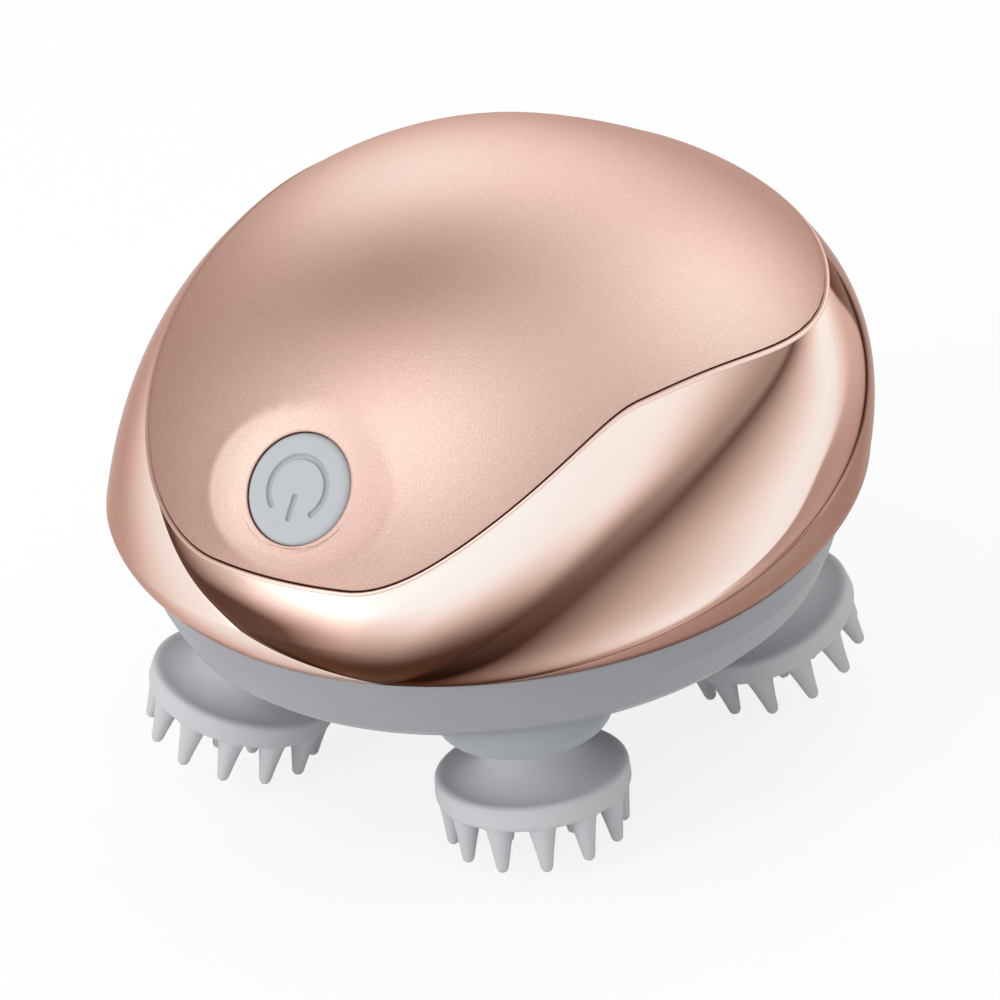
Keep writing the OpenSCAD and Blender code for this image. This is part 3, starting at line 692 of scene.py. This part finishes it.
def pad_mesh():
    """One pad in its own frame: a dished disc and its claws, grown together softly."""
    bm = bmesh.new()
    rim = [(PAD_R - 0.9 + 0.9 * math.cos(a), 0.7 * math.sin(a) - 0.7)
           for a in (math.radians(15 * k) for k in range(9))]
    dish = [(mix(PAD_R - 2.4, NECK_R, math.sin(a)), 6.7 * (1.0 - math.cos(a)) - 0.2)
            for a in (math.radians(5 * k) for k in range(19))]
    disc = [(0.0, -4.0), (PAD_R - 0.4, -4.0), (PAD_R + 0.15, -3.4)]
    spun(bm, disc + rim + dish + [(3.1, 6.5), (3.1, -1.0), (0.0, -1.0)], 160)
    for k in range(12):
        lean = turned("Y", -CLAW_SPLAY)
        spot = turned("Z", 30 * k) @ Matrix.Translation((CLAW_RING, 0, 0)) @ lean
        spun(bm, claw_profile(2.55, CLAW_REACH + 0.1), 24, spot)
    for k in range(8):
        spot = turned("Z", 45 * k) @ Matrix.Translation((7, 0, 0))
        spun(bm, claw_profile(2.1, CLAW_REACH - 1.6), 24, spot)
    spun(bm, claw_profile(2.1, CLAW_REACH - 2.0), 24)
    mesh = bpy.data.meshes.new("pad_form")
    bm.to_mesh(mesh)
    bm.free()
    form = bpy.data.objects.new("pad_form", mesh)
    bpy.context.scene.collection.objects.link(form)
    skin = form.modifiers.new("skin", "REMESH")
    skin.mode = "VOXEL"
    skin.voxel_size = 0.3
    soften = form.modifiers.new("soften", "SMOOTH")
    soften.factor = 0.5
    soften.iterations = 4
    graph = bpy.context.evaluated_depsgraph_get()
    soft = bpy.data.meshes.new_from_object(form.evaluated_get(graph))
    bpy.data.objects.remove(form)
    return soft


def build_pads(material):
    """The four massage pads, each on its own crank."""
    soft = pad_mesh()
    for name, corner in CORNERS.items():
        bm = bmesh.new()
        bm.from_mesh(soft)
        bmesh.ops.transform(bm, matrix=on_pad(corner), verts=bm.verts)
        piece = new_piece(name + "_soft_pad", bm, name + "_head", material)
        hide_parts(name + "_pad")
    bpy.data.meshes.remove(soft)


# ---------------------------------------------------------------- shader groups
def tree_group(name, inputs, outputs):
    """A new shader node group with float or colour sockets."""
    kinds = {"f": "NodeSocketFloat", "c": "NodeSocketColor"}
    group = bpy.data.node_groups.new(name, "ShaderNodeTree")
    for socket, kind, value in inputs:
        made = group.interface.new_socket(name=socket, in_out="INPUT", socket_type=kinds[kind])
        made.default_value = value
    for socket, kind in outputs:
        group.interface.new_socket(name=socket, in_out="OUTPUT", socket_type=kinds[kind])
    return group, group.nodes.new("NodeGroupInput"), group.nodes.new("NodeGroupOutput")


def add(tree, kind, **values):
    """A node with its properties and its unlinked inputs set."""
    node = tree.nodes.new(kind)
    for key, value in values.items():
        if hasattr(node, key):
            setattr(node, key, value)
        else:
            node.inputs[key.replace("_", " ")].default_value = value
    return node


def mottle_group():
    """Slow colour and gloss variation with a fine moulded texture, on Object coordinates."""
    group, given, out = tree_group(
        "moulded_surface",
        [("Colour", "c", (0.5, 0.5, 0.5, 1)), ("Low Colour", "c", (0.4, 0.4, 0.4, 1)),
         ("Patch Scale", "f", 60.0), ("Texture Scale", "f", 2500.0),
         ("Roughness", "f", 0.4), ("Roughness Spread", "f", 0.06)],
        [("Colour", "c"), ("Roughness", "f"), ("Height", "f")],
    )
    place = add(group, "ShaderNodeTexCoord")
    patches = add(group, "ShaderNodeTexNoise", Detail=3.0)
    texture = add(group, "ShaderNodeTexNoise", Detail=2.0)
    tint = add(group, "ShaderNodeMix", data_type="RGBA")
    swing = add(group, "ShaderNodeMath", operation="MULTIPLY_ADD")
    centre = add(group, "ShaderNodeMath", operation="SUBTRACT")
    centre.inputs[1].default_value = 0.5
    link = group.links.new
    link(place.outputs["Object"], patches.inputs["Vector"])
    link(place.outputs["Object"], texture.inputs["Vector"])
    link(given.outputs["Patch Scale"], patches.inputs["Scale"])
    link(given.outputs["Texture Scale"], texture.inputs["Scale"])
    link(patches.outputs[0], tint.inputs["Factor"])
    link(given.outputs["Low Colour"], tint.inputs["A"])
    link(given.outputs["Colour"], tint.inputs["B"])
    link(patches.outputs[0], centre.inputs[0])
    link(centre.outputs[0], swing.inputs[0])
    link(given.outputs["Roughness Spread"], swing.inputs[1])
    link(given.outputs["Roughness"], swing.inputs[2])
    link(tint.outputs["Result"], out.inputs["Colour"])
    link(swing.outputs[0], out.inputs["Roughness"])
    link(texture.outputs[0], out.inputs["Height"])
    return group


def plain_finish(name, colour, low, metallic, roughness, bump, texture=2500.0, patch=60.0,
                 spread=0.08):
    """A moulded or turned material from the shared surface group."""
    material = bpy.data.materials.new(name)
    material.use_nodes = True
    tree = material.node_tree
    shader = tree.nodes["Principled BSDF"]
    group = tree.nodes.new("ShaderNodeGroup")
    group.node_tree = bpy.data.node_groups["moulded_surface"]
    group.inputs["Colour"].default_value = (*colour, 1.0)
    group.inputs["Low Colour"].default_value = (*low, 1.0)
    group.inputs["Patch Scale"].default_value = patch
    group.inputs["Texture Scale"].default_value = texture
    group.inputs["Roughness"].default_value = roughness
    group.inputs["Roughness Spread"].default_value = spread
    bump_node = add(tree, "ShaderNodeBump", Strength=bump, Distance=0.0001)
    shader.inputs["Metallic"].default_value = metallic
    tree.links.new(group.outputs["Colour"], shader.inputs["Base Color"])
    tree.links.new(group.outputs["Roughness"], shader.inputs["Roughness"])
    tree.links.new(group.outputs["Height"], bump_node.inputs["Height"])
    tree.links.new(bump_node.outputs["Normal"], shader.inputs["Normal"])
    return material


def gold_by_painted_shading(tree, shader):
    """Colours the metal from the surface's attribute of painted light and shade, over its slow
    patches.
    """
    patches = shader.inputs["Base Color"].links[0].from_socket
    painted_shading = add(tree, "ShaderNodeAttribute", attribute_name="painted_shading")
    ramp_node = add(tree, "ShaderNodeValToRGB")
    stops = ramp_node.color_ramp.elements
    while len(stops) < len(GOLD_SHADING_RAMP):
        stops.new(0.5)
    for stop, (place, colour) in zip(stops, GOLD_SHADING_RAMP):
        stop.position = place
        stop.color = (*colour, 1.0)
    multiply(tree, shader, ramp_node.outputs["Color"], patches)
    tree.links.new(painted_shading.outputs["Fac"], ramp_node.inputs["Fac"])


def multiply(tree, shader, colour, by):
    """Sets the shader's colour to one colour times another."""
    tint = add(tree, "ShaderNodeMix", data_type="RGBA", blend_type="MULTIPLY")
    tint.inputs["Factor"].default_value = 1.0
    tree.links.new(colour, tint.inputs["A"])
    tree.links.new(by, tint.inputs["B"])
    tree.links.new(tint.outputs["Result"], shader.inputs["Base Color"])


def gloss_finish(colours):
    """Metallised rose gold, with painted shade in the creases of the swirl and painted highlights
    on its crests.
    """
    material = plain_finish("gloss_rose_gold", colours.gloss, colours.gloss_low, 1.0, 0.23, 0.02,
                            texture=900.0, patch=25.0, spread=0.04)
    shader = material.node_tree.nodes["Principled BSDF"]
    shader.inputs["Specular Tint"].default_value = (0.75, 0.56, 0.5, 1.0)
    gold_by_painted_shading(material.node_tree, shader)
    return material


def leather_finish(colours):
    """Satin rose gold with a fine leather-like grain, coloured by the cover's painted sheens and
    painted shade.
    """
    material = plain_finish("grained_rose_gold", colours.cover, colours.cover_low, 1.0, 0.42, 0.0,
                            patch=30.0, spread=0.05)
    tree = material.node_tree
    shader = tree.nodes["Principled BSDF"]
    shader.inputs["Specular Tint"].default_value = (0.85, 0.68, 0.62, 1.0)
    bump = next(n for n in tree.nodes if n.type == "BUMP")
    bump.inputs["Strength"].default_value = 0.32
    place = add(tree, "ShaderNodeTexCoord")
    grain = add(tree, "ShaderNodeTexNoise", Scale=3900.0, Detail=2.0, Roughness=0.6)
    cells = add(tree, "ShaderNodeTexVoronoi", Scale=3600.0)
    height = add(tree, "ShaderNodeMath", operation="ADD")
    fleck = add(tree, "ShaderNodeMath", operation="MULTIPLY_ADD")
    fleck.inputs[1].default_value = 0.17
    fleck.inputs[2].default_value = 0.85
    tree.links.new(place.outputs["Object"], grain.inputs["Vector"])
    tree.links.new(place.outputs["Object"], cells.inputs["Vector"])
    tree.links.new(grain.outputs[0], height.inputs[0])
    tree.links.new(cells.outputs["Distance"], height.inputs[1])
    tree.links.new(height.outputs[0], bump.inputs["Height"])
    tree.links.new(height.outputs[0], fleck.inputs[0])
    gold_by_painted_shading(tree, shader)
    multiply(tree, shader, shader.inputs["Base Color"].links[0].from_socket, fleck.outputs[0])
    return material


def button_finish():
    """Soft grey of the button, with painted shade in the engraved symbol."""
    material = plain_finish("button_grey", (0.52, 0.54, 0.57), (0.50, 0.52, 0.55), 0.0, 0.5,
                            0.05)
    tree = material.node_tree
    shader = tree.nodes["Principled BSDF"]
    painted_shading = add(tree, "ShaderNodeAttribute", attribute_name="painted_shading")
    multiply(tree, shader, shader.inputs["Base Color"].links[0].from_socket, painted_shading.outputs["Fac"])
    return material


# ---------------------------------------------------------------- user sizes and colours
class SwirlSizes(bpy.types.PropertyGroup):
    tuck_depth: bpy.props.FloatProperty(
        name="Tuck depth", description="Depth of the tuck beside the panel's edge",
        default=0.32 * MM, unit="LENGTH", subtype="DISTANCE")
    valley_depth: bpy.props.FloatProperty(
        name="Valley depth", description="Depth of the valley between the two ribbons",
        default=1.9 * MM, unit="LENGTH", subtype="DISTANCE")
    ribbon_swell: bpy.props.FloatProperty(
        name="Ribbon swell", description="How far the ribbons' crests stand proud of the body",
        default=0.5 * MM, unit="LENGTH", subtype="DISTANCE")
    band_step: bpy.props.FloatProperty(
        name="Band step", description="Step down from the back panel to the soft band",
        default=0.45 * MM, unit="LENGTH", subtype="DISTANCE")


class FinishColours(bpy.types.PropertyGroup):
    cover: bpy.props.FloatVectorProperty(
        name="Cover", description="Tint of the cover's grained rose gold", size=3,
        default=(1.0, 1.0, 1.0), subtype="COLOR", min=0.0, max=1.0)
    cover_low: bpy.props.FloatVectorProperty(
        name="Cover, low", description="Darker patches of the cover", size=3,
        default=(0.94, 0.93, 0.93), subtype="COLOR", min=0.0, max=1.0)
    gloss: bpy.props.FloatVectorProperty(
        name="Shell", description="Tint of the swirl shell's polished rose gold", size=3,
        default=(1.0, 1.0, 1.0), subtype="COLOR", min=0.0, max=1.0)
    gloss_low: bpy.props.FloatVectorProperty(
        name="Shell, low", description="Darker patches of the swirl shell", size=3,
        default=(0.96, 0.95, 0.95), subtype="COLOR", min=0.0, max=1.0)


class StudioLight(bpy.types.PropertyGroup):
    sky: bpy.props.FloatProperty(
        name="Sky level", description="World light that falls on the object",
        default=0.68, min=0.0, max=1.0)
    key: bpy.props.FloatProperty(
        name="Key level", description="Brightness of the large soft light in front",
        default=0.7, min=0.0, max=10.0)


# ---------------------------------------------------------------- node finishes
# Each plain finish: colour, colour of its darker patches, metallic, roughness, bump
PLAIN_FINISHES = {
    "satin_grey": ((0.33, 0.34, 0.36), (0.315, 0.325, 0.345), 0.0, 0.42, 0.06),
    "soft_grey": ((0.54, 0.56, 0.59), (0.52, 0.54, 0.57), 0.0, 0.34, 0.04),
    "collar_grey": ((0.38, 0.40, 0.42), (0.36, 0.38, 0.40), 0.0, 0.5, 0.08),
    "dark_rubber": ((0.03, 0.03, 0.032), (0.02, 0.02, 0.021), 0.0, 0.7, 0.2),
    "frame_white": ((0.78, 0.78, 0.76), (0.72, 0.72, 0.70), 0.0, 0.45, 0.08),
    "gear_white": ((0.82, 0.80, 0.74), (0.76, 0.74, 0.68), 0.0, 0.35, 0.05),
    "steel": ((0.56, 0.57, 0.58), (0.48, 0.49, 0.50), 1.0, 0.25, 0.05),
    "crank_alloy": ((0.50, 0.51, 0.53), (0.44, 0.45, 0.47), 1.0, 0.4, 0.1),
    "brass": ((0.72, 0.52, 0.22), (0.62, 0.44, 0.18), 1.0, 0.3, 0.06),
    "screw_steel": ((0.50, 0.50, 0.50), (0.4, 0.4, 0.4), 1.0, 0.35, 0.08),
    "motor_black": ((0.30, 0.31, 0.33), (0.25, 0.26, 0.28), 1.0, 0.38, 0.05),
    "battery_wrap": ((0.05, 0.16, 0.34), (0.04, 0.13, 0.29), 0.0, 0.3, 0.04),
    "board_green": ((0.02, 0.16, 0.07), (0.015, 0.12, 0.05), 0.0, 0.4, 0.15),
    "switch_black": ((0.02, 0.02, 0.02), (0.03, 0.03, 0.03), 0.0, 0.5, 0.1),
}


def finishes(colours):
    """One material for each material slot of the record."""
    mottle_group()
    made = {"cover_leather": leather_finish(colours), "gloss_gold": gloss_finish(colours)}
    for name, values in PLAIN_FINISHES.items():
        made[name] = plain_finish(name, *values)
    return made


def finish(name):
    """A material that the finishes step has made."""
    if name not in bpy.data.materials:
        raise RuntimeError(f"There is no material {name}: run Finishes first")
    return bpy.data.materials[name]


# ---------------------------------------------------------------- operators
class MASSAGER_OT_finishes(bpy.types.Operator):
    """Give every part of the frame its finish"""
    bl_idname = "massager.finishes"
    bl_label = "Finishes"

    def execute(self, context):
        made = finishes(context.scene.massager_colours)
        slots = {part["node"]: part["material_slot"] for part in frame["record"]["subparts"]}
        for name, node in frame["nodes"].items():
            if slots.get(name) not in made:
                raise RuntimeError(f"The node {name} has no finish")
            node.data.materials.clear()
            node.data.materials.append(made[slots[name]])
        return {"FINISHED"}


class MASSAGER_OT_swirl(bpy.types.Operator):
    """Build the glossy shell's swirled skin"""
    bl_idname = "massager.swirl"
    bl_label = "Swirl shell"

    def execute(self, context):
        build_swirl(context.scene.massager_swirl, finish("gloss_rose_gold"))
        return {"FINISHED"}


class MASSAGER_OT_button(bpy.types.Operator):
    """Build the power button with its engraved symbol"""
    bl_idname = "massager.button"
    bl_label = "Power button"

    def execute(self, context):
        build_button(button_finish())
        return {"FINISHED"}


class MASSAGER_OT_pads(bpy.types.Operator):
    """Build the four massage pads"""
    bl_idname = "massager.pads"
    bl_label = "Massage pads"

    def execute(self, context):
        build_pads(finish("soft_grey"))
        return {"FINISHED"}


class MASSAGER_OT_cover(bpy.types.Operator):
    """Build the grained cover's skin"""
    bl_idname = "massager.cover"
    bl_label = "Top cover"

    def execute(self, context):
        build_cover(finish("grained_rose_gold"))
        return {"FINISHED"}


# ---------------------------------------------------------------- stage
def soft_box(name, spot, size, level, mirrored=True):
    """A round soft light of a surface brightness, turned to the object."""
    lamp = bpy.data.lights.new(name, "AREA")
    lamp.shape = "DISK"
    lamp.size = size
    lamp.energy = level * math.pi * math.pi / 4.0 * size * size
    obj = bpy.data.objects.new(name, lamp)
    obj.location = spot
    obj.rotation_euler = (Vector(LAMP_AIM) - spot).to_track_quat("-Z", "Y").to_euler()
    obj.visible_camera = False
    obj.visible_glossy = mirrored
    bpy.context.scene.collection.objects.link(obj)


def direction(az, el, distance):
    """A point seen from the object at a compass angle from the front, and a height."""
    a, e = math.radians(az), math.radians(el)
    return Vector((math.sin(a) * math.cos(e), -math.cos(a) * math.cos(e), math.sin(e))) * distance


def seen_directly(tree):
    """The light path node, and 1 for camera and mirror rays or else 0."""
    path = add(tree, "ShaderNodeLightPath")
    seen = add(tree, "ShaderNodeMath", operation="MAXIMUM")
    tree.links.new(path.outputs["Is Camera Ray"], seen.inputs[0])
    tree.links.new(path.outputs["Is Glossy Ray"], seen.inputs[1])
    return path, seen.outputs[0]


def floor_paint():
    """Matt white that takes soft shadows, and glows a little where it is seen."""
    paint = bpy.data.materials.new("floor_paint")
    paint.use_nodes = True
    tree = paint.node_tree
    tree.nodes.clear()
    out = add(tree, "ShaderNodeOutputMaterial")
    matt = add(tree, "ShaderNodeBsdfDiffuse", Color=(0.95, 0.95, 0.95, 1.0))
    glow = add(tree, "ShaderNodeEmission", Strength=FLOOR_GLOW)
    part = add(tree, "ShaderNodeMath", operation="MULTIPLY")
    part.inputs[1].default_value = FLOOR_GLOW_SHARE
    blend = add(tree, "ShaderNodeMixShader")
    tree.links.new(seen_directly(tree)[1], part.inputs[0])
    tree.links.new(part.outputs[0], blend.inputs[0])
    tree.links.new(matt.outputs[0], blend.inputs[1])
    tree.links.new(glow.outputs[0], blend.inputs[2])
    tree.links.new(blend.outputs[0], out.inputs["Surface"])
    return paint


def build_floor(scene):
    bm = bmesh.new()
    bmesh.ops.create_grid(bm, x_segments=1, y_segments=1, size=FLOOR_HALF)
    mesh = bpy.data.meshes.new("floor")
    bm.to_mesh(mesh)
    bm.free()
    mesh.materials.append(floor_paint())
    floor = bpy.data.objects.new("floor", mesh)
    scene.collection.objects.link(floor)


def build_world(scene, sky_level):
    """A white studio: full white where it is seen, and softer as a light."""
    world = bpy.data.worlds.new("studio")
    world.use_nodes = True
    scene.world = world
    tree = world.node_tree
    tree.nodes.clear()
    out = add(tree, "ShaderNodeOutputWorld")
    sky = add(tree, "ShaderNodeBackground", Color=(1.0, 1.0, 1.0, 1.0))
    path, seen = seen_directly(tree)
    clear = add(tree, "ShaderNodeMath", operation="MAXIMUM")
    level = add(tree, "ShaderNodeMapRange")
    level.inputs["To Min"].default_value = sky_level
    level.inputs["To Max"].default_value = 1.0
    tree.links.new(seen, clear.inputs[0])
    tree.links.new(path.outputs["Is Transmission Ray"], clear.inputs[1])
    tree.links.new(clear.outputs[0], level.inputs["Value"])
    tree.links.new(level.outputs[0], sky.inputs["Strength"])
    tree.links.new(sky.outputs[0], out.inputs["Surface"])


def build_camera(scene):
    camera = bpy.data.cameras.new("camera")
    camera.sensor_width = 36.0
    camera.sensor_fit = "HORIZONTAL"
    camera.lens = CAMERA_LENS
    camera.clip_end = 50.0
    spot = Vector(CAMERA_SPOT) * MM
    back = (spot - Vector(CAMERA_AIM) * MM).normalized()
    right = Vector((0.0, 0.0, 1.0)).cross(back).normalized()
    up = back.cross(right)
    roll = math.radians(CAMERA_ROLL)
    side = right * math.cos(roll) - up * math.sin(roll)
    top = right * math.sin(roll) + up * math.cos(roll)
    turn = Matrix((side, top, back)).transposed().to_4x4()
    view = bpy.data.objects.new("camera", camera)
    view.matrix_world = Matrix.Translation(spot) @ turn
    scene.collection.objects.link(view)
    scene.camera = view


class MASSAGER_OT_stage(bpy.types.Operator):
    """Set the floor, the lights, the world and the camera"""
    bl_idname = "massager.stage"
    bl_label = "Stage"

    def execute(self, context):
        scene = context.scene
        studio = scene.massager_studio
        scene.view_settings.view_transform = "Standard"
        build_floor(scene)
        build_world(scene, studio.sky)
        soft_box("shade_light", direction(-10, 24, 0.9), 0.5, studio.key * 4.0, mirrored=False)
        soft_box("key_light", direction(-14, 56, 0.9), 0.6, studio.key)
        soft_box("front_light", direction(-20, 18, 0.9), 0.6, studio.key * 0.7)
        soft_box("back_light", direction(-172, 34, 1.1), 1.3, studio.key * 0.4)
        build_camera(scene)
        return {"FINISHED"}


# ---------------------------------------------------------------- panel and registration
class MASSAGER_PT_panel(bpy.types.Panel):
    """Lists the steps of the build"""
    bl_idname = "MASSAGER_PT_panel"
    bl_label = "Scalp massager"
    bl_space_type = "VIEW_3D"
    bl_region_type = "UI"
    bl_category = "Massager"

    def draw(self, context):
        for group in ("massager_swirl", "massager_colours", "massager_studio"):
            values = getattr(context.scene, group)
            box = self.layout.box()
            for name in values.bl_rna.properties.keys():
                if name not in ("rna_type", "name"):
                    box.prop(values, name)
        for step in STEPS:
            self.layout.operator(step)


GROUPS = {
    "massager_swirl": SwirlSizes,
    "massager_colours": FinishColours,
    "massager_studio": StudioLight,
}
CLASSES = (
    SwirlSizes, FinishColours, StudioLight,
    MASSAGER_OT_finishes, MASSAGER_OT_swirl, MASSAGER_OT_cover, MASSAGER_OT_button,
    MASSAGER_OT_pads, MASSAGER_OT_stage,
    MASSAGER_PT_panel,
)
STEPS = (
    "massager.finishes", "massager.swirl", "massager.cover", "massager.button",
    "massager.pads", "massager.stage",
)


def register():
    for cls in CLASSES:
        bpy.utils.register_class(cls)
    for name, group in GROUPS.items():
        setattr(bpy.types.Scene, name, bpy.props.PointerProperty(type=group))


def unregister():
    for name in GROUPS:
        delattr(bpy.types.Scene, name)
    for cls in reversed(CLASSES):
        bpy.utils.unregister_class(cls)


def main():
    register()
    for step in STEPS:
        area, name = step.split(".")
        getattr(getattr(bpy.ops, area), name)()


if __name__ == "__main__":
    main()
